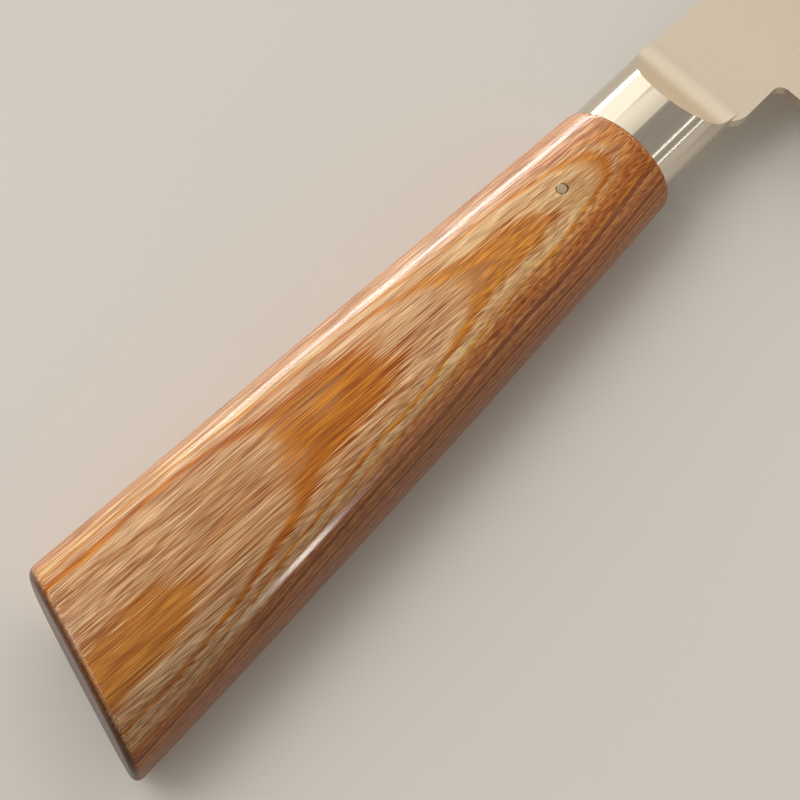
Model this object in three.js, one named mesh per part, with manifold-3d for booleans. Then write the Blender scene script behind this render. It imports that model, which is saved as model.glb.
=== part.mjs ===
// A santoku kitchen knife that lies on its side: a steel blade with a stick tang, a round bolster
// scooped down to the blade, a handle of laminated veneers and one cross pin.
//
// The drawing frame: X runs from the handle to the tip, Y to the spine and Z up through the knife's side.
// x = 0 is the joint between the wood and the bolster, and y = z = 0 is the bolster's axis.
import * as THREE from 'three';
import { mergeVertices } from 'three/addons/utils/BufferGeometryUtils.js';
import Module from 'manifold-3d';

const wasm = await Module();
wasm.setup();

// Driving dimensions in millimetres, and angles in radians

// Blade
const edgeLength = 165;
const heelHeight = 44.8;
const stockThickness = 1.8;
const spineSlope = THREE.MathUtils.degToRad(2.3);
const noseLength = 62;
const noseAngle = THREE.MathUtils.degToRad(62);
const tipRise = 9;
const tipThicknessHeight = 0.8;
const bellyLength = 112;
const bellyControl = 34;
const grindHeight = 19;
const edgeThickness = 0.3;
const edgeBevelHeight = 0.8;
const tipBevelShare = 0.25;
const tipFlatShare = 0.125;
const spineEase = 0.25;
const spineEaseRun = 20;

// Neck and tang
const neckLength = 11.5;
const neckDrop = 1.2;
const neckCornerRadius = 4;
const choilRadius = 1.6;
const shoulderX = 6;
const tangLength = 82;
const tangHeightFront = 9;
const tangHeightEnd = 6;
const tangEndRadius = 2;

// Bolster
const bolsterDiameter = 17.5;
const rampStartX = 8.4;
const rampAngle = THREE.MathUtils.degToRad(48);
const rampFillet = 9;
const rampLip = 0.12;
const jointLean = THREE.MathUtils.degToRad(-5.5);

// Handle
const handleLength = 110;
const handleProudTop = 0.25;
const handleProudBottom = 1.65;
const handleProudSide = 0.15;
const handleButtTop = 14.1;
const handleButtBottom = 16.7;
const handleBelly = 0.5;
const crownRise = 1.5;
const crownX = -70;
const buttLean = THREE.MathUtils.degToRad(17);
const buttRound = 1.5;
const frontRound = 1.1;
const frontStep = 0.04;
const frontSquareness = 2.1;
const buttSquareness = 2.8;
const pliesPerSide = 16;

// Pin
const pinDiameter = 1.6;
const pinX = -14;
const pinY = -0.5;

// Clearances
const glueLine = 0.1;
const pinClearance = 0.1;
const tangClearance = 0.1;
const bedWidth = 0.6;
const bedDepth = 0.2;
const pinSink = 0.05;

// Facet counts
const handleRingPoints = 44;
const handleStations = 9;
const buttRoundSteps = 3;
const frontRoundSteps = 3;
const bladeStations = 34;
const bolsterSides = 64;
const pinSides = 20;
const arcSteps = 8;
const bladeCrowding = 1.7;
const curveHalvings = 40;

// Sizes that follow from the driving dimensions
const stockHalf = stockThickness / 2;
const bolsterRadius = bolsterDiameter / 2;
const pinRadius = pinDiameter / 2;
const rampFootX = rampStartX + (bolsterRadius - stockHalf) / Math.tan(rampAngle);
const heelX = rampFootX + neckLength;
const tipX = heelX + edgeLength;
const flushHeight = Math.sqrt(bolsterRadius ** 2 - stockHalf ** 2);
const neckDepth = flushHeight + neckDrop;
const handleFrontTop = bolsterRadius + handleProudTop;
const handleFrontBottom = bolsterRadius + handleProudBottom;
const handleFrontHalf = bolsterRadius + handleProudSide;
const crownHalf = handleFrontHalf + crownRise;
const plyThickness = crownHalf / pliesPerSide;
const slottedPlies = Math.ceil((stockHalf + bedDepth) / plyThickness);
const slotHalf = slottedPlies * plyThickness;

// Solids

// A closed three.js geometry as a solid that can be joined and cut.
function solidOf(geometry) {
  const bare = geometry.clone();
  bare.deleteAttribute('normal');
  bare.deleteAttribute('uv');
  const merged = mergeVertices(bare);
  return new wasm.Manifold(new wasm.Mesh({
    numProp: 3,
    vertProperties: new Float32Array(merged.attributes.position.array),
    triVerts: new Uint32Array(merged.index.array),
  }));
}

function geometryOf(solid) {
  const mesh = solid.getMesh();
  const geometry = new THREE.BufferGeometry();
  geometry.setAttribute('position', new THREE.BufferAttribute(mesh.vertProperties, 3));
  geometry.setIndex(new THREE.BufferAttribute(mesh.triVerts, 1));
  geometry.computeVertexNormals();
  return geometry;
}

// A skin through rings of equally many points, from the low-x end to the high-x end, with a fan on each end.
// Each ring runs anticlockwise when it is seen from the high-x side.
function loft(rings) {
  const count = rings[0].length;
  const positions = rings.flat().flatMap((point) => point.toArray());
  const index = [];
  for (let ring = 0; ring + 1 < rings.length; ring += 1) {
    for (let point = 0; point < count; point += 1) {
      const next = (point + 1) % count;
      const near = ring * count;
      const far = near + count;
      index.push(near + point, near + next, far + next);
      index.push(near + point, far + next, far + point);
    }
  }
  const sumOf = (ring) => ring.reduce((sum, point) => sum.add(point), new THREE.Vector3());
  const middleOf = (ring) => sumOf(ring).divideScalar(count);
  const first = rings.length * count;
  const last = first + 1;
  const lastRing = first - count;
  positions.push(...middleOf(rings[0]).toArray(), ...middleOf(rings.at(-1)).toArray());
  for (let point = 0; point < count; point += 1) {
    const next = (point + 1) % count;
    index.push(first, next, point);
    index.push(last, lastRing + point, lastRing + next);
  }
  const geometry = new THREE.BufferGeometry();
  geometry.setAttribute('position', new THREE.Float32BufferAttribute(positions, 3));
  geometry.setIndex(index);
  return geometry;
}

// An outline in the side view, given thickness between two heights.
function plate(shape, lowZ, highZ) {
  const geometry = new THREE.ExtrudeGeometry(shape, {
    depth: highZ - lowZ,
    bevelEnabled: false,
    curveSegments: arcSteps,
  });
  return solidOf(geometry.translate(0, 0, lowZ));
}

// A round bar along Z at the pin's place.
function pinBar(radius, halfLength) {
  const geometry = new THREE.CylinderGeometry(radius, radius, 2 * halfLength, pinSides);
  return solidOf(geometry.rotateX(Math.PI / 2).translate(pinX, pinY, 0));
}

const pinBore = pinBar(pinRadius + pinClearance, 2 * crownHalf);

// Handle

// The side's half thickness: a shallow arch that is highest at the crown and nearly flush with the bolster.
function handleHalfAt(x) {
  const fromCrown = (x - crownX) / crownX;
  return crownHalf - crownRise * fromCrown ** 2;
}

// One section of the handle: a squared oval, leaned so that the end sections lie on the end faces.
// As flush goes from 0 to 1, the section is drawn in to just outside the bolster's circle.
function handleRing(share, inset, flush) {
  const lerp = THREE.MathUtils.lerp;
  const centreX = -glueLine - share * handleLength;
  const lean = Math.tan(lerp(jointLean, buttLean, share));
  const top = lerp(handleFrontTop, handleButtTop, share);
  const belly = handleBelly * 4 * share * (1 - share);
  const bottom = lerp(handleFrontBottom, handleButtBottom, share) + belly;
  const middleY = (top - bottom) / 2;
  const tall = (top + bottom) / 2 - inset;
  const half = handleHalfAt(centreX) - inset;
  const power = 2 / lerp(frontSquareness, buttSquareness, share);
  const ring = [];
  for (let step = 0; step < handleRingPoints; step += 1) {
    const angle = 2 * Math.PI * step / handleRingPoints;
    const rise = Math.sign(Math.cos(angle)) * Math.abs(Math.cos(angle)) ** power;
    const side = Math.sign(Math.sin(angle)) * Math.abs(Math.sin(angle)) ** power;
    const wideY = middleY + rise * tall;
    const wideZ = side * half;
    const drawn = lerp(1, (bolsterRadius + frontStep) / Math.hypot(wideY, wideZ), flush);
    const y = wideY * drawn;
    ring.push(new THREE.Vector3(centreX + y * lean, y, wideZ * drawn));
  }
  return ring;
}

// The whole handle block, from the rounded butt to the front face, whose edge is rounded down to the bolster.
function handleBlock() {
  const buttShare = buttRound / handleLength;
  const frontShare = frontRound / handleLength;
  const rings = [];
  for (let step = 0; step < buttRoundSteps; step += 1) {
    const angle = Math.PI / 2 * step / buttRoundSteps;
    const inset = buttRound * (1 - Math.sin(angle));
    rings.push(handleRing(1 - buttShare * (1 - Math.cos(angle)), inset, 0));
  }
  for (let step = 0; step < handleStations; step += 1) {
    rings.push(handleRing(THREE.MathUtils.lerp(1 - buttShare, frontShare, step / handleStations), 0, 0));
  }
  for (let step = 0; step <= frontRoundSteps; step += 1) {
    const angle = Math.PI / 2 * step / frontRoundSteps;
    rings.push(handleRing(frontShare * (1 - Math.sin(angle)), 0, 1 - Math.cos(angle)));
  }
  return solidOf(loft(rings));
}

// The tang's outline inside the bolster and handle, grown by a margin all round.
function tangOutline(margin, frontX) {
  const endX = -tangLength - margin;
  const slope = (tangHeightFront - tangHeightEnd) / 2 / (shoulderX + tangLength);
  const halfAt = (x) => tangHeightEnd / 2 + slope * (x + tangLength) + margin;
  const round = tangEndRadius + margin;
  const shape = new THREE.Shape();
  shape.moveTo(frontX, -halfAt(frontX));
  shape.lineTo(frontX, halfAt(frontX));
  shape.lineTo(endX + round, halfAt(endX + round));
  shape.quadraticCurveTo(endX, halfAt(endX), endX, halfAt(endX) - round);
  shape.lineTo(endX, round - halfAt(endX));
  shape.quadraticCurveTo(endX, -halfAt(endX), endX + round, -halfAt(endX + round));
  return shape;
}

// Veneers from the lower side to the upper side. Those in the middle are slotted for the tang.
function handlePlies() {
  const block = handleBlock();
  const slot = plate(tangOutline(bedWidth, bolsterRadius), -slotHalf, slotHalf);
  const sheetSize = 4 * handleLength;
  const plies = [];
  for (let layer = -pliesPerSide; layer < pliesPerSide; layer += 1) {
    const lowZ = layer * plyThickness;
    const sheet = new THREE.BoxGeometry(sheetSize, sheetSize, plyThickness);
    const slab = solidOf(sheet.translate(0, 0, lowZ + plyThickness / 2));
    const blank = block.intersect(slab).subtract(pinBore);
    const besideTang = -slottedPlies <= layer && layer < slottedPlies;
    plies.push(besideTang ? blank.subtract(slot) : blank);
  }
  return plies;
}

// The adhesive fills the slot round the tang, a little short of the wood and of the bolster.
function tangBed() {
  const room = plate(tangOutline(bedWidth - tangClearance, bolsterRadius), -slotHalf, slotHalf);
  const tang = plate(tangOutline(tangClearance, 2 * bolsterRadius), -stockHalf, stockHalf);
  const wood = handleBlock();
  return room.intersect(wood).subtract(tang).subtract(pinBore);
}

// Bolster

// The collar's outline seen from the spine: parallel sides, a straight ramp and a fillet down to the blade.
function rampOutline() {
  const filletEndX = rampFootX + rampFillet * Math.tan(rampAngle / 2);
  const lipAngle = Math.acos(1 - rampLip / rampFillet);
  const profile = [new THREE.Vector2(rampStartX, bolsterRadius)];
  for (let step = 0; step <= arcSteps; step += 1) {
    const angle = THREE.MathUtils.lerp(rampAngle, lipAngle, step / arcSteps);
    const x = filletEndX - rampFillet * Math.sin(angle);
    const z = stockHalf + rampFillet * (1 - Math.cos(angle));
    profile.push(new THREE.Vector2(x, z));
  }
  const mirrored = profile.map((point) => new THREE.Vector2(point.x, -point.y)).reverse();
  const clear = 2 * bolsterRadius;
  const lowBack = new THREE.Vector2(-clear, -clear);
  const highBack = new THREE.Vector2(-clear, clear);
  const highCorner = new THREE.Vector2(rampStartX, clear);
  const lowCorner = new THREE.Vector2(rampStartX, -clear);
  return new THREE.Shape([lowBack, highBack, highCorner, ...profile, ...mirrored, lowCorner]);
}

function bolsterRing(centreX, lean) {
  const ring = [];
  for (let step = 0; step < bolsterSides; step += 1) {
    const angle = 2 * Math.PI * step / bolsterSides;
    const y = bolsterRadius * Math.cos(angle);
    const z = bolsterRadius * Math.sin(angle);
    ring.push(new THREE.Vector3(centreX + y * Math.tan(lean), y, z));
  }
  return ring;
}

// A collar slotted for the tang behind the shoulder, and open for the neck in front of it.
function bolsterCollar() {
  const round = solidOf(loft([bolsterRing(0, jointLean), bolsterRing(heelX, 0)]));
  const rampWidth = 4 * bolsterRadius;
  const ramps = new THREE.ExtrudeGeometry(rampOutline(), { depth: rampWidth, bevelEnabled: false });
  const scooped = solidOf(ramps.rotateX(Math.PI / 2).translate(0, rampWidth / 2, 0));
  const tangSlot = plate(tangOutline(tangClearance, heelX), -stockHalf, stockHalf);
  const neckBox = new THREE.BoxGeometry(heelX, rampWidth, stockThickness);
  const neckGap = solidOf(neckBox.translate(shoulderX + heelX / 2, 0, 0));
  return round.intersect(scooped).subtract(tangSlot).subtract(neckGap);
}

// Blade

function spineLineAt(x) {
  return flushHeight - Math.max(0, x - rampFootX) * Math.tan(spineSlope);
}

const edgeY = spineLineAt(heelX) - heelHeight;
const tipY = edgeY + tipRise;

// The spine drops to the tip in one round nose, and the edge rises to it in a long belly.
const noseStartX = tipX - noseLength;
const noseDrop = spineLineAt(noseStartX) - tipY - tipThicknessHeight;
const noseControlX = tipX - noseDrop / Math.tan(noseAngle);
const noseCurve = new THREE.QuadraticBezierCurve(
  new THREE.Vector2(noseStartX, spineLineAt(noseStartX)),
  new THREE.Vector2(noseControlX, spineLineAt(noseControlX)),
  new THREE.Vector2(tipX, tipY + tipThicknessHeight),
);
const bellyCurve = new THREE.QuadraticBezierCurve(
  new THREE.Vector2(tipX - bellyLength, edgeY),
  new THREE.Vector2(tipX - bellyControl, edgeY),
  new THREE.Vector2(tipX, tipY),
);

// The height of a curve that runs steadily along X, found by halving.
function curveHeightAt(curve, x) {
  let low = 0;
  let high = 1;
  for (let halving = 0; halving < curveHalvings; halving += 1) {
    const middle = (low + high) / 2;
    if (curve.getPoint(middle).x < x) {
      low = middle;
    } else {
      high = middle;
    }
  }
  return curve.getPoint(low).y;
}

function spineAt(x) {
  return x <= noseStartX ? spineLineAt(x) : curveHeightAt(noseCurve, x);
}

function edgeAt(x) {
  return x <= bellyCurve.v0.x ? edgeY : curveHeightAt(bellyCurve, x);
}

// One cross-section: a flat side above the grind, a straight taper below it and a small bevel at the edge.
// Near the tip, where the blade is narrow, the bevel and the flat keep a share of its height.
function bladeRing(x) {
  const bottom = edgeAt(x);
  const height = spineAt(x) - bottom;
  const bevel = Math.min(edgeBevelHeight, height * tipBevelShare);
  const grown = Math.min(1, (x - heelX) / spineEaseRun);
  const ease = Math.min(spineEase * grown, height * tipFlatShare);
  const shoulder = Math.min(grindHeight, height * (1 - tipFlatShare) - ease);
  const edgeHalf = edgeThickness / 2 * bevel / edgeBevelHeight;
  const taper = (stockHalf - edgeThickness / 2) / (grindHeight - edgeBevelHeight);
  const sideHalf = Math.min(stockHalf, edgeHalf + taper * (shoulder - bevel));
  const topHalf = Math.min(stockHalf, edgeHalf + taper * (height - ease - bevel));
  const at = (rise, half) => new THREE.Vector3(x, bottom + rise, half);
  return [
    at(0, 0),
    at(bevel, -edgeHalf),
    at(shoulder, -sideHalf),
    at(height - ease, -topHalf),
    at(height, -topHalf + ease),
    at(height, topHalf - ease),
    at(height - ease, topHalf),
    at(shoulder, sideHalf),
    at(bevel, edgeHalf),
  ];
}

// Sections lie closer together towards the tip, where the outline turns.
function bladeBody() {
  const rings = [];
  for (let station = 0; station <= bladeStations; station += 1) {
    const left = 1 - station / bladeStations;
    rings.push(bladeRing(tipX - edgeLength * left ** bladeCrowding));
  }
  return solidOf(loft(rings));
}

// The neck, from the shoulder inside the bolster to just past the heel's filleted inner corner.
function neckOutline() {
  const cornerX = rampFootX + neckCornerRadius;
  const cornerY = neckCornerRadius - neckDepth;
  const cornerAngle = Math.asin((-flushHeight - cornerY) / neckCornerRadius);
  const overlapX = heelX + choilRadius;
  const shape = new THREE.Shape();
  shape.moveTo(shoulderX, flushHeight);
  shape.lineTo(shoulderX, -flushHeight);
  shape.absarc(cornerX, cornerY, neckCornerRadius, Math.PI - cornerAngle, 1.5 * Math.PI, false);
  shape.absarc(heelX - choilRadius, -neckDepth - choilRadius, choilRadius, Math.PI / 2, 0, true);
  shape.lineTo(overlapX, -neckDepth - choilRadius);
  shape.lineTo(overlapX, spineLineAt(overlapX));
  shape.lineTo(rampFootX, flushHeight);
  return shape;
}

function bladeBlank() {
  const neck = plate(neckOutline(), -stockHalf, stockHalf);
  const tang = plate(tangOutline(0, shoulderX + choilRadius), -stockHalf, stockHalf);
  return bladeBody().add(neck).add(tang).subtract(pinBore);
}

// Pin

function crossPin() {
  return pinBar(pinRadius, handleHalfAt(pinX) - pinSink);
}

// Finishes

function steel(color, roughness) {
  return new THREE.MeshStandardMaterial({ color, roughness, metalness: 1 });
}

function lacqueredWood(color) {
  return new THREE.MeshStandardMaterial({ color, roughness: 0.3, metalness: 0 });
}

// Veneer colours from the outermost ply inwards, alike on both sides.
const beige = '#d9b48a';
const orange = '#d08a3c';
const tan = '#cfa078';
const redBrown = '#a85a2c';
const veneerTones = [beige, orange, tan, redBrown, tan, redBrown, orange, tan];

function veneerTone(layer) {
  const depth = layer < pliesPerSide ? layer : 2 * pliesPerSide - 1 - layer;
  return veneerTones[depth % veneerTones.length];
}

// The knife

const knife = new THREE.Group();

function addPiece(name, solid, material) {
  const mesh = new THREE.Mesh(geometryOf(solid), material);
  mesh.name = name;
  knife.add(mesh);
}

addPiece('blade', bladeBlank(), steel('#c9bda6', 0.35));
addPiece('bolster', bolsterCollar(), steel('#d2c9b8', 0.12));
addPiece('handle_pin', crossPin(), steel('#b9b0a2', 0.3));
const adhesive = new THREE.MeshStandardMaterial({ color: '#c8b88f', roughness: 0.5, metalness: 0 });
addPiece('tang_adhesive', tangBed(), adhesive);
handlePlies().forEach((ply, layer) => {
  const number = String(layer + 1).padStart(2, '0');
  addPiece(`handle_ply_${number}`, ply, lacqueredWood(veneerTone(layer)));
});

// The part stands on the ground plane, with its origin below the middle of its box.
const box = new THREE.Box3().setFromObject(knife, true);
const middle = box.getCenter(new THREE.Vector3());
knife.position.set(-middle.x, -middle.y, -box.min.z);

const part = new THREE.Group();
part.add(knife);

export default part;
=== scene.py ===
import math

import bmesh
import bpy
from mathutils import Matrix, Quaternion, Vector


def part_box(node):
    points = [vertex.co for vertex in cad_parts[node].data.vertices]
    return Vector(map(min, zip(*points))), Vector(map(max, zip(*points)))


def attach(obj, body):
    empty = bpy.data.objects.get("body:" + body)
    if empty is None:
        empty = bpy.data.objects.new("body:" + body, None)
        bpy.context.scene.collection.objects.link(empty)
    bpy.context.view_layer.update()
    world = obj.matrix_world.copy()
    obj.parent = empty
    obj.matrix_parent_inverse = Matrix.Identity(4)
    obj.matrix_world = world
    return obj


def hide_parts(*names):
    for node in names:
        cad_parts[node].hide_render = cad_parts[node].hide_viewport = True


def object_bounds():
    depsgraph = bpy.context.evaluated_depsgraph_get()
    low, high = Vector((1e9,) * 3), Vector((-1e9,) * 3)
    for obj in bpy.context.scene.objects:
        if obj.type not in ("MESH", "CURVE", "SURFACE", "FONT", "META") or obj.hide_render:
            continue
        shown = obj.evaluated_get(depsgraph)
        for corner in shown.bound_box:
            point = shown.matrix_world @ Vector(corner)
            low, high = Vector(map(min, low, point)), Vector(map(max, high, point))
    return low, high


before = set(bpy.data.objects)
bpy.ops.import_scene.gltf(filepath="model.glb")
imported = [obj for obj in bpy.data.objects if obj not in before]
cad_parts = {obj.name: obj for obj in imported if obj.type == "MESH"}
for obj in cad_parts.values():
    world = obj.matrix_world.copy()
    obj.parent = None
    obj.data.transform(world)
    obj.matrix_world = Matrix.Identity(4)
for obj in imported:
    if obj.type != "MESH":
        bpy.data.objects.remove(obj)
cad_low, cad_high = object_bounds()

# The knife's looks. Shapes are worked out in millimetres in the knife's own frame: X runs to the tip,
# Y to the spine and Z up through the side, from the point where the bolster's axis meets the wood.
MM = 0.001

# Bolster
JOINT_LEAN = math.radians(-5.5)
RAMP_START = 8.4
RAMP_ANGLE = math.radians(48)
RAMP_FILLET = 9.0
RAMP_LIP = 0.003
SHOULDER = 6.0

# Blade
NECK_LENGTH = 11.5
NECK_DROP = 1.2
NECK_CORNER = 4.0
CHOIL_RADIUS = 1.6
SPINE_SLOPE = math.radians(2.3)
NOSE_LENGTH = 62.0
NOSE_ANGLE = math.radians(62)
TIP_RISE = 9.0
TIP_HEIGHT = 0.8
BELLY_LENGTH = 112.0
BELLY_CONTROL = 34.0
GRIND_HEIGHT = 19.0
EDGE_THICKNESS = 0.3
EDGE_BEVEL = 0.8
TIP_BEVEL_SHARE = 0.25
TIP_FLAT_SHARE = 0.125
BLADE_EASE = 0.16
EASE_RUN = 6.0

# Tang
TANG_LENGTH = 82.0
TANG_HEIGHT_FRONT = 9.0
TANG_HEIGHT_END = 6.0
TANG_END_ROUND = 2.0
TANG_GAP = 0.1
TANG_SIDE_GAP = 0.025
SLOT_MARGIN = 0.6
SLOT_HALF = 1.3

# Handle
GLUE_LINE = 0.1
HANDLE_LENGTH = 109.94
PROUD_TOP = 0.25
PROUD_BOTTOM = 1.65
BUTT_TOP = 14.1
BUTT_BOTTOM = 16.7
HANDLE_BELLY = 0.5
CROWN_RISE = 1.5
CROWN_X = -70.0
BUTT_LEAN = math.radians(17)
BUTT_ROUND = 1.5
FRONT_ROUND = 1.1
FRONT_STEP = 0.04
FRONT_SQUARENESS = 2.1
BUTT_SQUARENESS = 2.8

# Pin
# Its ends stand a little proud of the wood, and its bore lies a little towards the butt and the edge.
PIN_RISE = 0.08
PIN_GAP = 0.07
PIN_SHIFT = 0.045
PIN_DOME = 0.02
PIN_CHAMFER = 0.05

# Facet counts
HANDLE_SIDES = 192
HANDLE_STATIONS = 110
ROUND_STEPS = 10
RAMP_STEPS = 56
FILLET_STEPS = 40
BOLSTER_ROWS = 4
STRIP_STEPS = 6
RAMP_COLUMNS = 24
NECK_STATIONS = 5
ARC_STEPS = 16
BLADE_STATIONS = 120
BLADE_CROWDING = 1.7
TANG_STATIONS = 8
PIN_SIDES = 64
PIN_RINGS = 4
EASE_SEGMENTS = 3
CURVE_HALVINGS = 40

# Rows of points, counted from the edge up: in the blade those at the choil and the spine, in the neck
# those along the tang's two edges and the spine, in the tang the upper one
BODY_CHOIL = 3
BODY_SPINE = 6
NECK_TANG_LOW = 1
NECK_TANG_HIGH = 2
NECK_SPINE = 3
TANG_TOP = 1

# Angles above which an edge between faces stays sharp
WOOD_SHARP = math.radians(40)
STEEL_SHARP = math.radians(35)

# Points nearer to each other than the first are welded, and edges shorter than the second go.
WELD_DISTANCE = 0.0005
SHORTEST_EDGE = 0.0002

# Places and sizes that the frame gives
bolster_low, bolster_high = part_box("bolster")
blade_low, blade_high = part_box("blade")
pin_low, pin_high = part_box("handle_pin")
bolster_radius = (bolster_high.y - bolster_low.y) / 2 / MM
origin = (bolster_low + bolster_high) / 2
origin.x = bolster_low.x - bolster_radius * math.tan(JOINT_LEAN) * MM
pin_radius = (pin_high.y - pin_low.y) / 2 / MM
pin_centre = ((pin_low + pin_high) / 2 - origin) / MM
pin_half_length = (pin_high.z - pin_low.z) / 2 / MM + PIN_RISE
tip_x = (blade_high.x - origin.x) / MM
edge_y = (blade_low.y - origin.y) / MM
stock_half = (blade_high.z - blade_low.z) / 2 / MM

# Sizes that follow
ramp_foot = RAMP_START + (bolster_radius - stock_half) / math.tan(RAMP_ANGLE)
heel_x = ramp_foot + NECK_LENGTH
flush_height = math.sqrt(bolster_radius ** 2 - stock_half ** 2)
neck_depth = flush_height + NECK_DROP
tip_y = edge_y + TIP_RISE
crown_half = (cad_high.z - cad_low.z) / 2 / MM


def lerp(start, end, share):
    return start + (end - start) * share


def steps_between(start, end, count):
    """Evenly spaced values from start to end, both included."""
    return [lerp(start, end, step / count) for step in range(count + 1)]


# Meshes

def add_grid(shape, rows, material=0, closed=False):
    """Quads between neighbouring rows of equally many points."""
    made = [[shape.verts.new(point) for point in row] for row in rows]
    for low, high in zip(made, made[1:]):
        count = len(low)
        for step in range(count if closed else count - 1):
            after = (step + 1) % count
            face = shape.faces.new((low[step], low[after], high[after], high[step]))
            face.material_index = material
    return made


def add_face(shape, points, material=0):
    face = shape.faces.new([shape.verts.new(point) for point in points])
    face.material_index = material


def weld(shape):
    bmesh.ops.remove_doubles(shape, verts=shape.verts, dist=WELD_DISTANCE)
    bmesh.ops.dissolve_degenerate(shape, edges=shape.edges, dist=SHORTEST_EDGE)
    bmesh.ops.recalc_face_normals(shape, faces=shape.faces)


def piece_from(name, shape, materials, sharp):
    """A closed mesh in millimetres as an object at the knife's origin, with its faces pointing out."""
    weld(shape)
    for vertex in shape.verts:
        vertex.co *= MM
    mesh = bpy.data.meshes.new(name)
    shape.to_mesh(mesh)
    shape.free()
    piece = bpy.data.objects.new(name, mesh)
    piece.location = origin
    bpy.context.scene.collection.objects.link(piece)
    for material in materials:
        mesh.materials.append(material)
    mesh.shade_smooth()
    mesh.set_sharp_from_angle(angle=sharp)
    return piece


def cut(piece, cutters):
    """Cuts solids out of a piece, applies all its modifiers and throws the cutters away."""
    for cutter in cutters:
        modifier = piece.modifiers.new("cut", "BOOLEAN")
        modifier.operation = "DIFFERENCE"
        modifier.solver = "EXACT"
        modifier.object = cutter
    even = piece.modifiers.new("even", "WEIGHTED_NORMAL")
    even.keep_sharp = True
    graph = bpy.context.evaluated_depsgraph_get()
    made = bpy.data.meshes.new_from_object(piece.evaluated_get(graph))
    piece.modifiers.clear()
    piece.data = made
    for cutter in cutters:
        bpy.data.objects.remove(cutter)


def prism(name, outline, low, high):
    """A cutter: an outline in the side view, given thickness between two heights."""
    shape = bmesh.new()
    made = add_grid(shape, [[(x, y, z) for x, y in outline] for z in (low, high)], closed=True)
    shape.faces.new(made[0])
    shape.faces.new(made[1])
    return piece_from(name, shape, [], STEEL_SHARP)


def pin_bore():
    radius = pin_radius + PIN_GAP
    x = pin_centre.x - PIN_SHIFT
    y = pin_centre.y - PIN_SHIFT
    angles = [2 * math.pi * step / PIN_SIDES for step in range(PIN_SIDES)]
    outline = [(x + radius * math.cos(a), y + radius * math.sin(a)) for a in angles]
    return prism("pin_bore", outline, -2 * crown_half, 2 * crown_half)


def tang_half_height(x):
    slope = (TANG_HEIGHT_FRONT - TANG_HEIGHT_END) / 2 / (SHOULDER + TANG_LENGTH)
    return TANG_HEIGHT_END / 2 + slope * (x + TANG_LENGTH)


def tang_slot(margin, half):
    """A cutter round the tang, from just in front of the shoulder."""
    front = SHOULDER + margin
    end = -TANG_LENGTH - margin
    tall_front = tang_half_height(front) + margin
    tall_end = tang_half_height(end) + margin
    outline = [(front, -tall_front), (front, tall_front), (end, tall_end), (end, -tall_end)]
    return prism("tang_slot", outline, -half, half)


# Handle

def handle_half_at(x):
    return crown_half - CROWN_RISE * ((x - CROWN_X) / CROWN_X) ** 2


def signed_power(value, power):
    return math.copysign(abs(value) ** power, value)


def handle_ring(share, inset=0.0, flush=0.0):
    """One section of the handle: a squared oval, which is drawn in to the bolster's circle as flush
    goes from 0 to 1."""
    centre_x = -GLUE_LINE - share * HANDLE_LENGTH
    lean = math.tan(lerp(JOINT_LEAN, BUTT_LEAN, share))
    top = lerp(bolster_radius + PROUD_TOP, BUTT_TOP, share)
    belly = HANDLE_BELLY * 4 * share * (1 - share)
    bottom = lerp(bolster_radius + PROUD_BOTTOM, BUTT_BOTTOM, share) + belly
    middle = (top - bottom) / 2
    tall = (top + bottom) / 2 - inset
    half = handle_half_at(centre_x) - inset
    power = 2 / lerp(FRONT_SQUARENESS, BUTT_SQUARENESS, share)
    ring = []
    for step in range(HANDLE_SIDES):
        angle = 2 * math.pi * step / HANDLE_SIDES
        y = middle + signed_power(math.cos(angle), power) * tall
        z = signed_power(math.sin(angle), power) * half
        shrink = lerp(1.0, (bolster_radius + FRONT_STEP) / math.hypot(y, z), flush)
        y *= shrink
        z *= shrink
        ring.append((centre_x + y * lean, y, z))
    return ring


def handle_wood(material):
    """The laminated block from its butt to its front face, with the pin's bore and the tang's slot."""
    butt_share = BUTT_ROUND / HANDLE_LENGTH
    front_share = FRONT_ROUND / HANDLE_LENGTH
    rings = []
    for angle in steps_between(0, math.pi / 2, ROUND_STEPS):
        share = 1 - butt_share * (1 - math.cos(angle))
        rings.append(handle_ring(share, inset=BUTT_ROUND * (1 - math.sin(angle))))
    for share in steps_between(1 - butt_share, front_share, HANDLE_STATIONS)[1:-1]:
        rings.append(handle_ring(share))
    for angle in steps_between(0, math.pi / 2, ROUND_STEPS):
        rings.append(handle_ring(front_share * (1 - math.sin(angle)), flush=1 - math.cos(angle)))
    shape = bmesh.new()
    made = add_grid(shape, rings, closed=True)
    shape.faces.new(made[0])
    shape.faces.new(made[-1])
    piece = piece_from("handle_wood", shape, [material], WOOD_SHARP)
    cut(piece, [pin_bore(), tang_slot(SLOT_MARGIN, SLOT_HALF)])
    return piece


# Pin

def cross_pin(material):
    """A round pin with slightly domed, chamfered ends."""
    flat = pin_radius - PIN_CHAMFER
    profile = []
    for share in steps_between(1 / PIN_RINGS, 1, PIN_RINGS - 1):
        profile.append((flat * share, pin_half_length - PIN_DOME * share ** 2))
    profile.append((pin_radius, pin_half_length - PIN_DOME - PIN_CHAMFER))
    profile += [(radius, -z) for radius, z in reversed(profile)]
    angles = [2 * math.pi * step / PIN_SIDES for step in range(PIN_SIDES)]
    rings = []
    for radius, z in profile:
        ring = [Vector((radius * math.cos(a), radius * math.sin(a), z)) for a in angles]
        rings.append([pin_centre + point for point in ring])
    shape = bmesh.new()
    made = add_grid(shape, rings, closed=True)
    for ring, z in ((made[0], pin_half_length), (made[-1], -pin_half_length)):
        tip = shape.verts.new(pin_centre + Vector((0, 0, z)))
        for step in range(PIN_SIDES):
            shape.faces.new((ring[step], ring[(step + 1) % PIN_SIDES], tip))
    return piece_from("handle_pin_steel", shape, [material], STEEL_SHARP)


# Bolster

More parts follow.
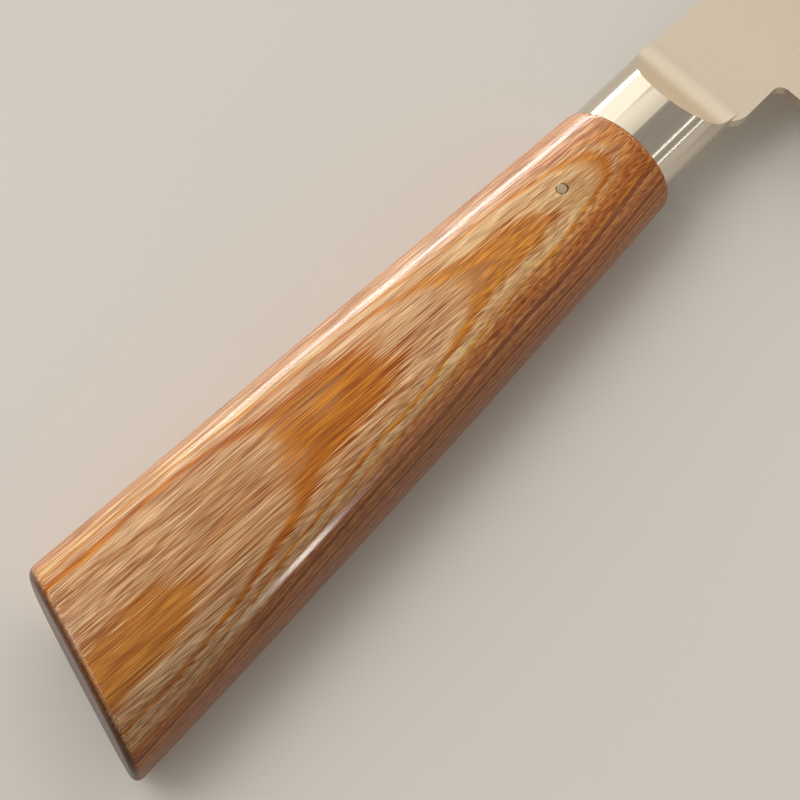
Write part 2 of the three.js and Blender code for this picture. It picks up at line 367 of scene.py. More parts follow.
def ramp_x(z):
    """How far forward the scoop's surface lies at a height above the blade's middle plane."""
    fillet_end = ramp_foot + RAMP_FILLET * math.tan(RAMP_ANGLE / 2)
    fillet_top = stock_half + RAMP_FILLET * (1 - math.cos(RAMP_ANGLE))
    if z >= fillet_top:
        return RAMP_START + (bolster_radius - z) / math.tan(RAMP_ANGLE)
    turned = math.acos(1 - (z - stock_half) / RAMP_FILLET)
    return fillet_end - RAMP_FILLET * math.sin(turned)


def scoop_angles():
    """Where the scoop's rows meet the round outside, as angles from +Z: the ramp's, then the fillet's."""
    fillet_top = stock_half + RAMP_FILLET * (1 - math.cos(RAMP_ANGLE))
    lip_angle = math.acos(1 - RAMP_LIP / RAMP_FILLET)
    angles = steps_between(0, math.acos(fillet_top / bolster_radius), RAMP_STEPS)
    for turned in steps_between(RAMP_ANGLE, lip_angle, FILLET_STEPS)[1:]:
        z = stock_half + RAMP_FILLET * (1 - math.cos(turned))
        angles.append(math.acos(z / bolster_radius))
    return angles


def on_collar(turn, share):
    """A point on the collar's round outside, at an angle from +Z towards +Y and a share of the way
    from the rear face to the shoulder."""
    y = bolster_radius * math.sin(turn)
    z = bolster_radius * math.cos(turn)
    return (lerp(y * math.tan(JOINT_LEAN), SHOULDER, share), y, z)


def bolster_collar(polished, satin):
    """A round collar whose two scoops run down to the blade, with a slot for the neck between them."""
    shape = bmesh.new()
    toe_z = stock_half + RAMP_LIP
    toe_x = ramp_x(toe_z)
    slot_angle = math.acos(stock_half / bolster_radius)
    angles = scoop_angles()
    turns = [-slot_angle, *[-angle for angle in reversed(angles[1:])], *angles, slot_angle]
    across = steps_between(-1, 1, RAMP_COLUMNS)
    shares = steps_between(0, 1, BOLSTER_ROWS)
    for side in (1, -1):
        outside = []
        for turn in turns:
            y = bolster_radius * math.sin(turn)
            z = bolster_radius * math.cos(turn)
            back = lerp(0, math.pi - 2 * turn, (1 - side) / 2) + turn
            row = [on_collar(back, share) for share in shares]
            crest = ramp_x(max(z, toe_z))
            row += [(x, y, side * z) for x in steps_between(SHOULDER, crest, BOLSTER_ROWS)[1:]]
            outside.append(row)
        add_grid(shape, outside)
        scoop = []
        for angle in angles:
            z = bolster_radius * math.cos(angle)
            reach = bolster_radius * math.sin(angle)
            scoop.append([(ramp_x(z), reach * share, side * z) for share in across])
        scoop.append([(toe_x, flush_height * share, side * stock_half) for share in across])
        add_grid(shape, scoop, material=1)
        wall = []
        for x in steps_between(SHOULDER, toe_x, BOLSTER_ROWS):
            wall.append([(x, flush_height * share, side * stock_half) for share in across])
        add_grid(shape, wall)
    strip = steps_between(slot_angle, math.pi - slot_angle, STRIP_STEPS)
    for turned in (0, math.pi):
        add_grid(shape, [[on_collar(turn + turned, share) for share in shares] for turn in strip])
    floor = [(SHOULDER, flush_height * share, stock_half) for share in across]
    floor += [on_collar(turn, 1) for turn in strip[1:-1]]
    floor += [(SHOULDER, -flush_height * share, -stock_half) for share in across]
    floor += [on_collar(turn + math.pi, 1) for turn in strip[1:-1]]
    add_face(shape, floor)
    half_round = turns + strip[1:-1]
    around = half_round + [math.pi + turn for turn in half_round]
    add_face(shape, [on_collar(turn, 0) for turn in around])
    piece = piece_from("bolster_collar", shape, [polished, satin], STEEL_SHARP)
    cut(piece, [tang_slot(TANG_GAP, stock_half + TANG_SIDE_GAP)])
    return piece


# Blade

def spine_line(x):
    return flush_height - max(0.0, x - ramp_foot) * math.tan(SPINE_SLOPE)


def curve_height(start, control, end, x):
    """The height of a quadratic curve that runs steadily along X, found by halving."""
    low, high = 0.0, 1.0
    for _ in range(CURVE_HALVINGS):
        middle = (low + high) / 2
        if lerp(lerp(start[0], control[0], middle), lerp(control[0], end[0], middle), middle) < x:
            low = middle
        else:
            high = middle
    return lerp(lerp(start[1], control[1], low), lerp(control[1], end[1], low), low)


def spine_at(x):
    nose_start = tip_x - NOSE_LENGTH
    if x <= nose_start:
        return spine_line(x)
    drop = spine_line(nose_start) - tip_y - TIP_HEIGHT
    control_x = tip_x - drop / math.tan(NOSE_ANGLE)
    start = (nose_start, spine_line(nose_start))
    return curve_height(start, (control_x, spine_line(control_x)), (tip_x, tip_y + TIP_HEIGHT), x)


def edge_at(x):
    start = tip_x - BELLY_LENGTH
    if x <= start:
        return edge_y
    return curve_height((start, edge_y), (tip_x - BELLY_CONTROL, edge_y), (tip_x, tip_y), x)


# The tang's two edges continue as rows of points through the neck and the blade.
low_share = (flush_height - tang_half_height(SHOULDER)) / 2 / flush_height
heel_level = -neck_depth - CHOIL_RADIUS
level_share = (heel_level - edge_y - GRIND_HEIGHT) / (spine_line(heel_x) - edge_y - GRIND_HEIGHT)


def body_column(x):
    """Rows of the blade from the edge to the spine at one place, each a height and a half thickness."""
    bottom = edge_at(x)
    height = spine_at(x) - bottom
    bevel = min(EDGE_BEVEL, height * TIP_BEVEL_SHARE)
    shoulder = min(GRIND_HEIGHT, height * (1 - TIP_FLAT_SHARE))
    edge_half = EDGE_THICKNESS / 2 * bevel / EDGE_BEVEL
    taper = (stock_half - EDGE_THICKNESS / 2) / (GRIND_HEIGHT - EDGE_BEVEL)
    level = lerp(shoulder, height, level_share)
    rises = [shoulder, level, lerp(level, height, low_share), lerp(level, height, 1 - low_share), height]
    rows = [(bottom, 0.0), (bottom + bevel, edge_half)]
    rows += [(bottom + rise, min(stock_half, edge_half + taper * (rise - bevel))) for rise in rises]
    return x, rows


def neck_column(x, bottom):
    top = spine_line(x)
    heights = [bottom, lerp(bottom, top, low_share), lerp(bottom, top, 1 - low_share), top]
    return x, [(y, stock_half) for y in heights]


def neck_columns():
    """From the shoulder in the bolster, round the lower corner and along the neck to the choil."""
    corner = Vector((ramp_foot + NECK_CORNER, NECK_CORNER - neck_depth))
    corner_angle = math.pi - math.asin((-flush_height - corner.y) / NECK_CORNER)
    choil = Vector((heel_x - CHOIL_RADIUS, -neck_depth - CHOIL_RADIUS))
    corner_arc = []
    for angle in steps_between(corner_angle, 1.5 * math.pi, ARC_STEPS):
        corner_arc.append(corner + NECK_CORNER * Vector((math.cos(angle), math.sin(angle))))
    choil_arc = []
    for angle in steps_between(math.pi / 2, 0, ARC_STEPS):
        choil_arc.append(choil + CHOIL_RADIUS * Vector((math.cos(angle), math.sin(angle))))
    line = [(x, -flush_height) for x in steps_between(SHOULDER, corner_arc[0].x, NECK_STATIONS)[:-1]]
    line += [tuple(point) for point in corner_arc]
    line += [(x, -neck_depth) for x in steps_between(corner.x, choil.x, NECK_STATIONS)[1:-1]]
    line += [tuple(point) for point in choil_arc]
    return [neck_column(x, y) for x, y in line]


def tang_columns():
    """From the tang's rounded end to the shoulder."""
    columns = []
    for angle in steps_between(0, math.pi / 2, TANG_STATIONS):
        x = -TANG_LENGTH + TANG_END_ROUND * (1 - math.cos(angle))
        half_height = tang_half_height(x) - TANG_END_ROUND * (1 - math.sin(angle))
        columns.append((x, [(-half_height, stock_half), (half_height, stock_half)]))
    for x in steps_between(TANG_END_ROUND - TANG_LENGTH, SHOULDER, TANG_STATIONS)[1:]:
        columns.append((x, [(-tang_half_height(x), stock_half), (tang_half_height(x), stock_half)]))
    return columns


def add_sides(shape, columns):
    for side in (1, -1):
        add_grid(shape, [[(x, y, side * half) for y, half in rows] for x, rows in columns])


def add_band(shape, columns, row):
    """The narrow face along one row, from side to side."""
    line = [(x, *rows[row]) for x, rows in columns]
    add_grid(shape, [[(x, y, half), (x, y, -half)] for x, y, half in line])


def add_ladder(shape, column, first, last):
    """The narrow face along one column, between two rows."""
    x, rows = column
    add_grid(shape, [[(x, y, half), (x, y, -half)] for y, half in rows[first:last + 1]])


def blade_blank(material):
    """Blade, neck and tang in one, with eased edges in front of the bolster."""
    shape = bmesh.new()
    lefts = [step / BLADE_STATIONS for step in range(BLADE_STATIONS, -1, -1)]
    body = [body_column(tip_x - (tip_x - heel_x) * left ** BLADE_CROWDING) for left in lefts]
    neck = neck_columns()
    tang = tang_columns()
    for columns in (body, neck, tang):
        add_sides(shape, columns)
        add_band(shape, columns, -1)
    add_band(shape, neck, 0)
    add_band(shape, tang, 0)
    add_ladder(shape, body[0], 0, BODY_CHOIL)
    add_ladder(shape, body[-1], 0, BODY_SPINE)
    add_ladder(shape, neck[0], 0, NECK_TANG_LOW)
    add_ladder(shape, neck[0], NECK_TANG_HIGH, NECK_SPINE)
    add_ladder(shape, tang[0], 0, TANG_TOP)
    weld(shape)
    ease_start = ramp_x(stock_half + RAMP_LIP)
    weight = shape.edges.layers.float.new("bevel_weight_edge")
    for edge in shape.edges:
        middle = (edge.verts[0].co + edge.verts[1].co) / 2
        folded = len(edge.link_faces) == 2 and edge.calc_face_angle() > STEEL_SHARP
        if folded and abs(middle.z) > EDGE_THICKNESS / 2:
            edge[weight] = min(1.0, max(0.0, (middle.x - ease_start) / EASE_RUN))
    piece = piece_from("blade_steel", shape, [material], STEEL_SHARP)
    ease = piece.modifiers.new("ease", "BEVEL")
    ease.limit_method = "WEIGHT"
    ease.width = BLADE_EASE * MM
    ease.segments = EASE_SEGMENTS
    cut(piece, [pin_bore()])
    return piece


# Materials

def srgb(red, green, blue, alpha=1.0):
    """A screen colour in bytes as linear light."""
    def linear(value):
        share = value / 255
        return share / 12.92 if share <= 0.04045 else ((share + 0.055) / 1.055) ** 2.4
    return (linear(red), linear(green), linear(blue), alpha)


class Nodes:
    """One material's nodes. Each call adds a node and gives the socket that comes out of it."""

    def __init__(self, name):
        self.material = bpy.data.materials.new(name)
        self.material.use_nodes = True
        self.tree = self.material.node_tree
        self.shader = self.tree.nodes["Principled BSDF"]

    def set(self, socket, value):
        if isinstance(value, bpy.types.NodeSocket):
            self.tree.links.new(value, socket)
        else:
            socket.default_value = value

    def surface(self, **values):
        for name, value in values.items():
            self.set(self.shader.inputs[name.replace("_", " ")], value)
        return self.material

    def add(self, kind, inputs, output=0, **settings):
        made = self.tree.nodes.new(kind)
        for name, value in settings.items():
            setattr(made, name, value)
        for name, value in inputs.items():
            self.set(made.inputs[name], value)
        return made.outputs[output]

    def math(self, operation, first, second=0.0, clamp=False):
        return self.add("ShaderNodeMath", {0: first, 1: second}, operation=operation, use_clamp=clamp)

    def place(self):
        """The point on the piece in millimetres, as one vector."""
        local = self.add("ShaderNodeTexCoord", {}, output="Object")
        return self.add("ShaderNodeVectorMath", {0: local, "Scale": 1 / MM}, operation="SCALE")

    def parts(self, vector):
        split = self.tree.nodes.new("ShaderNodeSeparateXYZ")
        self.tree.links.new(vector, split.inputs[0])
        return split.outputs

    def stretched(self, vector, along, across, up):
        return self.add("ShaderNodeVectorMath", {0: vector, 1: (along, across, up)}, operation="MULTIPLY")

    def noise(self, vector, scale, detail=2.0, roughness=0.5):
        inputs = {"Vector": vector, "Scale": scale, "Detail": detail, "Roughness": roughness}
        return self.add("ShaderNodeTexNoise", inputs, output="Fac")

    def remap(self, value, low, high, to_low=0.0, to_high=1.0):
        inputs = {"Value": value, "From Min": low, "From Max": high, "To Min": to_low, "To Max": to_high}
        return self.add("ShaderNodeMapRange", inputs)

    def mix(self, share, first, second, blend="MIX"):
        inputs = {0: share, 6: first, 7: second}
        return self.add("ShaderNodeMix", inputs, output=2, data_type="RGBA", blend_type=blend)

    def ramp(self, share, stops):
        """Colours blended between stops, as a colour and an alpha."""
        made = self.tree.nodes.new("ShaderNodeValToRGB")
        elements = made.color_ramp.elements
        while len(elements) > 1:
            elements.remove(elements[-1])
        elements[0].position, elements[0].color = stops[0]
        for position, colour in stops[1:]:
            elements.new(position).color = colour
        self.set(made.inputs[0], share)
        return made.outputs

    def tint(self, share, colour, tone):
        """A colour multiplied by a tone, as far as a share says."""
        return self.mix(share, colour, tone, blend="MULTIPLY")

    def curve(self, value, points):
        """A smooth curve through points, which lie between 0 and 1."""
        made = self.tree.nodes.new("ShaderNodeFloatCurve")
        line = made.mapping.curves[0]
        line.points[0].location = points[0]
        line.points[-1].location = points[-1]
        for point in points[1:-1]:
            line.points.new(*point)
        for point in line.points:
            point.handle_type = "AUTO_CLAMPED"
        made.mapping.update()
        self.set(made.inputs["Value"], value)
        return made.outputs[0]

    def bump(self, height, strength, distance):
        inputs = {"Height": height, "Strength": strength, "Distance": distance * MM}
        return self.add("ShaderNodeBump", inputs, output="Normal")


# Veneer colours, with how strongly each one's fibres show as its alpha
BEIGE = srgb(206, 167, 118, 0.75)
ROSE_BEIGE = srgb(202, 158, 114, 0.9)
# A darker copy of the rose beige: partly the veneer's own duller tone, partly painted shade towards the
# butt
DULL_BEIGE = srgb(193, 149, 105, 0.95)
ORANGE = srgb(192, 121, 34, 0.9)
DEEP_ORANGE = srgb(184, 109, 20, 1.0)
YELLOW_ORANGE = srgb(176, 112, 38, 0.75)
TAN = srgb(190, 124, 60, 1.0)
RED_BROWN = srgb(170, 96, 38, 1.0)
DARK_BROWN = srgb(142, 74, 24, 1.0)
# A cream painted into the upper flank as a sheen
SHEEN_CREAM = srgb(214, 184, 150)
PORE = srgb(104, 54, 26)

# Depths of the veneers' lower faces in millimetres, from the outermost one in, and the deep ones' pattern.
VENEERS = [
    (2.65, YELLOW_ORANGE), (1.82, DULL_BEIGE), (1.55, DEEP_ORANGE), (1.0, ROSE_BEIGE), (0.77, ORANGE),
    (0.22, BEIGE), (0.0, ORANGE), (-0.14, DULL_BEIGE), (-0.50, TAN), (-0.80, RED_BROWN), (-1.0, TAN),
    (-1.40, RED_BROWN), (-1.62, ORANGE), (-2.20, DARK_BROWN), (-2.50, TAN),
]
VENEER_TOP = 3.5
VENEER_BOTTOM = -3.0
VENEER_EDGE = 0.05
DEEP_PERIOD = 1.7
DEEP_PATTERN = [(0.0, RED_BROWN), (0.3, RED_BROWN), (0.36, TAN), (0.48, TAN), (0.54, DARK_BROWN),
                (0.8, DARK_BROWN), (0.86, ORANGE), (0.95, TAN)]

# Where each veneer's nose lies along the side, in millimetres behind the bolster, and its depth there.
NOSES = [(0.0, -0.42), (5.6, 0.0), (9.0, 0.22), (16.0, 0.62), (19.3, 0.77), (27.0, 0.92), (35.0, 1.0),
         (42.0, 1.25), (48.3, 1.50), (50.3, 1.57), (58.0, 1.73), (69.0, 1.82), (76.0, 2.10), (92.0, 2.58),
         (112.0, 2.72)]
NOSE_RANGE = 112.0
NOSE_LOW = -0.5
NOSE_HIGH = 3.0
FEATHER = 0.15
FIBRE_FEATHER = 0.15
CLOUD = 0.18

# The veneers slope one way at the front and the other way farther back.
TILT_FRONT = 0.012
TILT_BACK = -0.015
TILT_START = 20.0
TILT_END = 60.0

# On the crown's top the veneers bend with it, less and less with depth, and most towards the butt.
BEND = 0.88
BEND_DEPTH_FRONT = 0.5
BEND_DEPTH_BACK = 1.6
BEND_START = 30.0
BEND_END = 75.0

# Towards the butt the veneers rise on the lower half.
SKEW = 0.07
SKEW_START = 84.0
SKEW_END = 98.0
SKEW_MIDDLE = -1.2
SKEW_REACH = 6.0

# Where most of a noise's values lie
NOISE_LOW = 0.3
NOISE_HIGH = 0.7

# The grain's direction, and how many streaks, fibres, pores and clouds lie in a millimetre
GRAIN_SLANT = 0.05
GRAIN_MIDDLE = -55.0
STREAK_STRETCH = 0.02
FIBRE_STRETCH = 0.014
CLOUD_STRETCH = 0.4
STREAKS = 1.7
STREAK_DETAIL = 3.0
STREAK_ROUGHNESS = 0.6
FIBRES = 10.5
PORES = 8.0
CLOUDS = 0.22

# The lower flank, where fibres show less: how far it lies below the crown, and from what height down
FLANK_START = 1.0
FLANK_END = 5.0
FLANK_LEVEL = 0.0
FLANK_LOW = -5.0
FLANK_FIGURE = 0.5

# Tints of the darker and the paler streaks and fibres, and the noise values from which and up to which
# they and the pores grow
RED_FIBRE = (0.58, 0.42, 0.32, 1.0)
PALE_FIBRE = (1.34, 1.46, 1.62, 1.0)
RED_STREAK = (0.84, 0.66, 0.50, 1.0)
PALE_STREAK = (1.12, 1.20, 1.30, 1.0)
TINT_NONE = 0.50
TINT_RED = 0.60
TINT_PALE = 0.40
PORE_NONE = 0.64
PORE_FULL = 0.72
PORE_STRENGTH = 0.7

# The upper flank is painted paler as a sheen, the lower one darker as painted shade, and the end grain at
# the butt much darker, partly its own tone and partly painted shade.
UPPER_PAINTED_SHEEN = 0.5
UPPER_START = 1.0
UPPER_END = 7.0
UPPER_SIDE_START = 2.0
UPPER_SIDE_END = 7.0
NOSE_BLEND = 0.3
LOWER_SHADE = 0.48
LOWER_START = -6.0
LOWER_END = -13.0
END_GRAIN_AND_SHADE = (0.22, 0.15, 0.11, 1.0)
END_FACING_NONE = -0.25
END_FACING_FULL = -0.65

# The wood's surface under its coat
WOOD_SMOOTH = 0.42
WOOD_ROUGH = 0.54
WOOD_BUMP = 0.10
WOOD_BUMP_HEIGHT = 0.04

# The steel's lines and clouds, and how far they change its brightness and roughness
LINE_DETAIL = 4.0
LINE_ROUGHNESS = 0.65
STEEL_CLOUDS = 0.05
STEEL_CLOUD_SHARE = 0.4
STEEL_FIELD_LOW = 0.45
STEEL_FIELD_HIGH = 0.95
STEEL_DARKEST = 0.95
STEEL_BRIGHTEST = 1.04
STEEL_SMOOTHEST = 0.85
STEEL_ROUGHEST = 1.15
STEEL_BUMP_HEIGHT = 0.01


def veneer_stops():
    """Colour stops over the veneers' depths, with a short blend at each face."""
    span = VENEER_TOP - VENEER_BOTTOM
    stops = []
    for number, (depth, colour) in enumerate(VENEERS):
        below = VENEERS[number + 1][1] if number + 1 < len(VENEERS) else VENEERS[-1][1]
        stops.append(((depth + VENEER_EDGE - VENEER_BOTTOM) / span, colour))
        stops.append(((depth - VENEER_EDGE - VENEER_BOTTOM) / span, below))
    return list(reversed(stops))


def laminated_wood():
    """Dyed veneers cut through by the crowned side, with fibres and pores and a gloss coat."""
    nodes = Nodes("laminated_wood")
    place = nodes.place()
    x, y, z = nodes.parts(place)
    behind = nodes.math("MULTIPLY", x, -1.0)
    from_crown = nodes.math("DIVIDE", nodes.math("SUBTRACT", x, CROWN_X), CROWN_X)
    arch = nodes.math("MULTIPLY", nodes.math("MULTIPLY", from_crown, from_crown), CROWN_RISE)
    crown = nodes.math("SUBTRACT", crown_half, arch)
    drop = nodes.math("SUBTRACT", crown, nodes.math("ABSOLUTE", z))
    # Fibres and pores run a little aslant, but straight on the lower flank, where they show less.
    below_crown = nodes.remap(drop, FLANK_START, FLANK_END)
    low_flank = nodes.math("MULTIPLY", below_crown, nodes.remap(y, FLANK_LEVEL, FLANK_LOW))
    slant = nodes.remap(low_flank, 0.0, 1.0, GRAIN_SLANT, 0.0)
    risen = nodes.math("ADD", y, nodes.math("MULTIPLY", nodes.math("SUBTRACT", x, GRAIN_MIDDLE), slant))
    grain = nodes.add("ShaderNodeCombineXYZ", {0: x, 1: risen, 2: z})
    fine_grain = nodes.stretched(grain, FIBRE_STRETCH, 1.0, 1.0)
    coarse_grain = nodes.stretched(grain, STREAK_STRETCH, 1.0, 1.0)
    streaks = nodes.noise(coarse_grain, STREAKS, detail=STREAK_DETAIL, roughness=STREAK_ROUGHNESS)
    fibres = nodes.noise(fine_grain, FIBRES, detail=0.0)
    pores = nodes.noise(fine_grain, PORES, detail=1.0)
    clouds = nodes.noise(nodes.stretched(place, CLOUD_STRETCH, 1.0, 1.0), CLOUDS)
    # Depth below the crown, counted from the nose of the foremost orange veneer
    share = nodes.math("DIVIDE", behind, NOSE_RANGE, clamp=True)
    points = [(s / NOSE_RANGE, (depth - NOSE_LOW) / (NOSE_HIGH - NOSE_LOW)) for s, depth in NOSES]
    ridge = nodes.remap(nodes.curve(share, points), 0.0, 1.0, NOSE_LOW, NOSE_HIGH)
    bend_depth = nodes.remap(behind, BEND_START, BEND_END, -BEND_DEPTH_FRONT, -BEND_DEPTH_BACK)
    bend = nodes.math("MULTIPLY", nodes.math("EXPONENT", nodes.math("DIVIDE", drop, bend_depth)), BEND)
    fall = nodes.math("MULTIPLY", drop, nodes.math("SUBTRACT", 1.0, bend))
    tilt = nodes.math("MULTIPLY", y, nodes.remap(behind, TILT_START, TILT_END, TILT_FRONT, TILT_BACK))
    depth = nodes.math("SUBTRACT", nodes.math("SUBTRACT", ridge, fall), tilt)
    near_butt = nodes.remap(behind, SKEW_START, SKEW_END, 0.0, SKEW)
    lowness = nodes.remap(y, SKEW_MIDDLE - SKEW_REACH, SKEW_MIDDLE + SKEW_REACH, SKEW_REACH, -SKEW_REACH)
    depth = nodes.math("ADD", depth, nodes.math("MULTIPLY", near_butt, lowness))
    for field, reach in ((streaks, FEATHER), (fibres, FIBRE_FEATHER), (clouds, CLOUD)):
        depth = nodes.math("ADD", depth, nodes.remap(field, 0.0, 1.0, -reach, reach))
    outer, figure = nodes.ramp(nodes.remap(depth, VENEER_BOTTOM, VENEER_TOP), veneer_stops())
    deep = nodes.ramp(nodes.math("FRACT", nodes.math("DIVIDE", depth, DEEP_PERIOD)), DEEP_PATTERN)[0]
    colour = nodes.mix(nodes.math("LESS_THAN", depth, VENEERS[-1][0]), outer, deep)
    # Painted sheen and painted shade on the flanks, and the end grain's darkening, partly painted shade
    below_nose = nodes.remap(depth, 0.0, -NOSE_BLEND)
    # Painted sheen: the upper flank is blended towards cream, more the higher it lies, and not along the
    # middle of the spine side
    painted_sheen = nodes.math("MULTIPLY", nodes.remap(y, UPPER_START, UPPER_END, 0.0, UPPER_PAINTED_SHEEN), below_nose)
    outwards = nodes.remap(nodes.math("ABSOLUTE", z), UPPER_SIDE_START, UPPER_SIDE_END)
    painted_sheen = nodes.math("MULTIPLY", painted_sheen, outwards)
    colour = nodes.mix(painted_sheen, colour, SHEEN_CREAM)
    # Painted shade: the colour is scaled darker the lower it lies on the flank
    shade = nodes.remap(y, LOWER_START, LOWER_END, 1.0, LOWER_SHADE)
    colour = nodes.add("ShaderNodeVectorMath", {0: colour, "Scale": shade}, operation="SCALE")
    # Faces towards the butt are darkened: partly the end grain's own darker tone, partly painted shade
    facing = nodes.parts(nodes.add("ShaderNodeTexCoord", {}, output="Normal"))[0]
    colour = nodes.tint(nodes.remap(facing, END_FACING_NONE, END_FACING_FULL), colour, END_GRAIN_AND_SHADE)
    # Fibres and pores
    tones = ((streaks, TINT_RED, RED_STREAK), (streaks, TINT_PALE, PALE_STREAK),
             (fibres, TINT_RED, RED_FIBRE), (fibres, TINT_PALE, PALE_FIBRE))
    figure = nodes.math("MULTIPLY", figure, nodes.remap(low_flank, 0.0, 1.0, 1.0, FLANK_FIGURE))
    for field, full, tone in tones:
        strength = nodes.math("MULTIPLY", nodes.remap(field, TINT_NONE, full), figure)
        colour = nodes.tint(strength, colour, tone)
    pore_share = nodes.remap(pores, PORE_NONE, PORE_FULL, 0.0, PORE_STRENGTH)
    pore_share = nodes.math("MULTIPLY", pore_share, figure)
    colour = nodes.mix(pore_share, colour, PORE)
    roughness = nodes.remap(fibres, NOISE_LOW, NOISE_HIGH, WOOD_SMOOTH, WOOD_ROUGH)
    relief = nodes.math("ADD", fibres, nodes.math("MULTIPLY", pore_share, -1.0))
    normal = nodes.bump(relief, WOOD_BUMP, WOOD_BUMP_HEIGHT)
    return nodes.surface(Base_Color=colour, Roughness=roughness, Normal=normal, Specular_IOR_Level=0.2,
                         Coat_Weight=0.38, Coat_Roughness=0.14, Coat_IOR=1.5)


def brushed_steel(name, colour, roughness, along, across, relief):
    """Steel with fine lines along the knife and a little cloudiness."""
    nodes = Nodes(name)
    place = nodes.place()
    stretched = nodes.stretched(place, along, across, across)
    lines = nodes.noise(stretched, 1.0, detail=LINE_DETAIL, roughness=LINE_ROUGHNESS)
    clouds = nodes.math("MULTIPLY", nodes.noise(place, STEEL_CLOUDS, detail=1.0), STEEL_CLOUD_SHARE)
    field = nodes.math("ADD", lines, clouds)
    bright = nodes.remap(field, STEEL_FIELD_LOW, STEEL_FIELD_HIGH, STEEL_DARKEST, STEEL_BRIGHTEST)
    shade = nodes.add("ShaderNodeCombineColor", {0: bright, 1: bright, 2: bright})
    tone = nodes.tint(1.0, colour, shade)
    smoothest = roughness * STEEL_SMOOTHEST
    roughest = roughness * STEEL_ROUGHEST
    rough = nodes.remap(lines, NOISE_LOW, NOISE_HIGH, smoothest, roughest)
    normal = nodes.bump(lines, relief, STEEL_BUMP_HEIGHT)
    return nodes.surface(Base_Color=tone, Roughness=rough, Normal=normal, Metallic=1.0)


def clouded(name, clouds, detail, dark, pale, roughness):
    """A dull surface whose colour drifts between two tones."""
    nodes = Nodes(name)
    field = nodes.noise(nodes.place(), clouds, detail=detail)
    tone = nodes.ramp(field, [(NOISE_LOW, dark), (NOISE_HIGH, pale)])[0]
    return nodes.surface(Base_Color=tone, Roughness=roughness)


# Pieces

BLADE_TONE = srgb(224, 211, 192)
BOLSTER_TONE = srgb(222, 212, 197)
PIN_TONE = srgb(192, 172, 144)
RESIN_DARK = srgb(190, 172, 130)
RESIN_PALE = srgb(214, 198, 160)
FLOOR_DARK = srgb(226, 224, 220)
FLOOR_PALE = srgb(230, 228, 225)

satin_steel = brushed_steel("satin_steel", BLADE_TONE, roughness=0.30, along=0.05, across=9.0, relief=0.03)
scoop_steel = brushed_steel("scoop_steel", BLADE_TONE, roughness=0.32, along=0.05, across=9.0, relief=0.03)
polished_steel = brushed_steel("polished_steel", BOLSTER_TONE, roughness=0.12, along=0.2, across=2.0,
                               relief=0.006)
ground_steel = brushed_steel("ground_steel", PIN_TONE, roughness=0.40, along=0.4, across=9.0, relief=0.06)
cured_resin = clouded("cured_resin", clouds=0.6, detail=3.0, dark=RESIN_DARK, pale=RESIN_PALE,
                      roughness=0.45)
plain_floor = clouded("plain_floor", clouds=0.004, detail=2.0, dark=FLOOR_DARK, pale=FLOOR_PALE,
                      roughness=0.8)

wood = handle_wood(laminated_wood())
pieces = [
    (wood, "veneer_orange", [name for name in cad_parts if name.startswith("handle_ply_")]),
    (cross_pin(ground_steel), "pin_steel", ["handle_pin"]),
    (bolster_collar(polished_steel, scoop_steel), "bolster_steel", ["bolster"]),
    (blade_blank(satin_steel), "blade_steel", ["blade"]),
]
for piece, slot, nodes in pieces:
    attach(piece, "root")
    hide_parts(*nodes)

# The adhesive is hidden in the handle, so its own solid stays.
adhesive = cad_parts["tang_adhesive"]
adhesive.data.materials.clear()
adhesive.data.materials.append(cured_resin)

# Floor
FLOOR_SIZE = 30.0
bpy.ops.mesh.primitive_plane_add(size=FLOOR_SIZE)
floor = bpy.context.object
floor.name = "floor"
floor.data.materials.append(plain_floor)


# Light

def area_lamp(name, place, target, width, height, radiance, colour=(1.0, 1.0, 1.0), only=()):
    """A rectangular lamp that looks as bright as radiance says, at a place in metres from the knife's
    origin. It lights everything, or only the pieces given."""
    lamp = bpy.data.lights.new(name, "AREA")
    lamp.shape = "RECTANGLE"
    lamp.size = width
    lamp.size_y = height
    lamp.energy = radiance * math.pi * width * height
    lamp.color = colour
    holder = bpy.data.objects.new(name, lamp)
    holder.location = origin + Vector(place)
    holder.rotation_euler = (Vector(target) - Vector(place)).to_track_quat("-Z", "Y").to_euler()
    holder.visible_camera = False
    bpy.context.scene.collection.objects.link(holder)
    if only:
        lit = bpy.data.collections.new(name + "_lit")
        for piece in only:
            lit.objects.link(piece)
        holder.light_linking.receiver_collection = lit


WARM = (1.0, 0.95, 0.87)
STUDIO_COLOUR = (1.0, 0.94, 0.85, 1.0)
STUDIO_STRENGTH = 0.36
SOFTBOX_X = 0.53
SOFTBOX_Z = 1.0
SOFTBOX_WIDTH = 0.23
SOFTBOX_FIRST = -0.05
SOFTBOX_STEP = 0.19
SOFTBOX_RADIANCES = (0.56, 0.67, 0.79, 0.90, 1.0)
GLEAM_TARGET = (0.0, 0.0, 0.01)
knife = [piece for piece, slot, nodes in pieces]

area_lamp("key", place=(-0.35, 0.45, 0.95), target=(0.0, 0.0, 0.0), width=0.60, height=0.60,
          radiance=2.85, colour=WARM)
for step, radiance in enumerate(SOFTBOX_RADIANCES):
    y = SOFTBOX_FIRST + SOFTBOX_STEP * step
    area_lamp("softbox_" + str(step), place=(SOFTBOX_X, y, SOFTBOX_Z), target=(SOFTBOX_X, y, 0.0),
              width=SOFTBOX_WIDTH, height=SOFTBOX_STEP, radiance=radiance, colour=WARM)
area_lamp("spine_panel", place=(0.55, 0.90, 0.67), target=(0.55, 0.0, 0.67), width=0.90, height=0.98,
          radiance=1.1, colour=WARM)
area_lamp("front_panel", place=(1.0, 0.20, 0.40), target=(0.0, 0.20, 0.40), width=1.20, height=0.80,
          radiance=0.65, colour=WARM)
area_lamp("high_panel", place=(1.0, 0.20, 1.15), target=(0.0, 0.20, 1.15), width=1.20, height=0.70,
          radiance=0.40, colour=WARM)
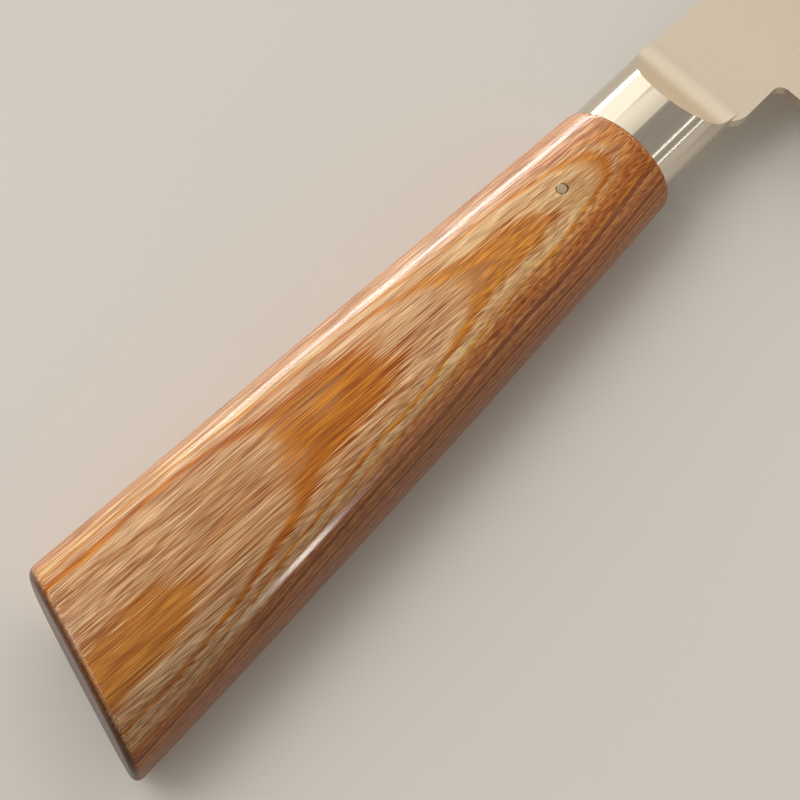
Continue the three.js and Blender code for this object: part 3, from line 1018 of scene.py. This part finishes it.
area_lamp("spine_strip", place=(0.32, 0.56, 0.045), target=GLEAM_TARGET, width=0.50, height=0.11,
          radiance=4.5, only=knife)
area_lamp("spine_gleam", place=(0.32, 0.57, 0.045), target=GLEAM_TARGET, width=0.50, height=0.11,
          radiance=16.0, only=[wood])
area_lamp("fill", place=(-0.55, 0.25, 0.75), target=(0.0, 0.0, 0.0), width=0.5, height=0.5, radiance=1.2)
area_lamp("low_strip_one", place=(0.28, -0.50, 0.20), target=GLEAM_TARGET, width=0.25, height=0.018,
          radiance=3.0)
area_lamp("low_strip_two", place=(0.29, -0.55, 0.03), target=GLEAM_TARGET, width=0.25, height=0.014,
          radiance=3.2)
area_lamp("ridge_gleam", place=(0.095, -0.56, 0.23), target=(-0.08, 0.0, 0.0), width=0.020, height=0.11,
          radiance=90.0, colour=WARM, only=[wood])

world = bpy.data.worlds.new("studio")
bpy.context.scene.world = world
world.use_nodes = True
background = world.node_tree.nodes["Background"]
background.inputs["Color"].default_value = STUDIO_COLOUR
background.inputs["Strength"].default_value = STUDIO_STRENGTH
bpy.context.scene.view_settings.view_transform = "Standard"

# Camera: its place and the point that it looks at, in millimetres from the knife's origin.
CAMERA_PLACE = Vector((-146.3, -74.8, 289.1))
CAMERA_TARGET = Vector((-51.0, -4.15, 0.0))
CAMERA_ROLL = math.radians(7.42)
CAMERA_LENS = 99.0
CAMERA_SENSOR = 36.0
CAMERA_NEAR = 0.01
camera_data = bpy.data.cameras.new("camera")
camera_data.lens = CAMERA_LENS
camera_data.sensor_width = CAMERA_SENSOR
camera_data.sensor_fit = "HORIZONTAL"
camera_data.clip_start = CAMERA_NEAR
camera = bpy.data.objects.new("camera", camera_data)
camera.location = origin + CAMERA_PLACE * MM
looking = (CAMERA_TARGET - CAMERA_PLACE).to_track_quat("-Z", "Y")
camera.rotation_mode = "QUATERNION"
camera.rotation_quaternion = looking @ Quaternion((0, 0, 1), CAMERA_ROLL)
bpy.context.scene.collection.objects.link(camera)
bpy.context.scene.camera = camera
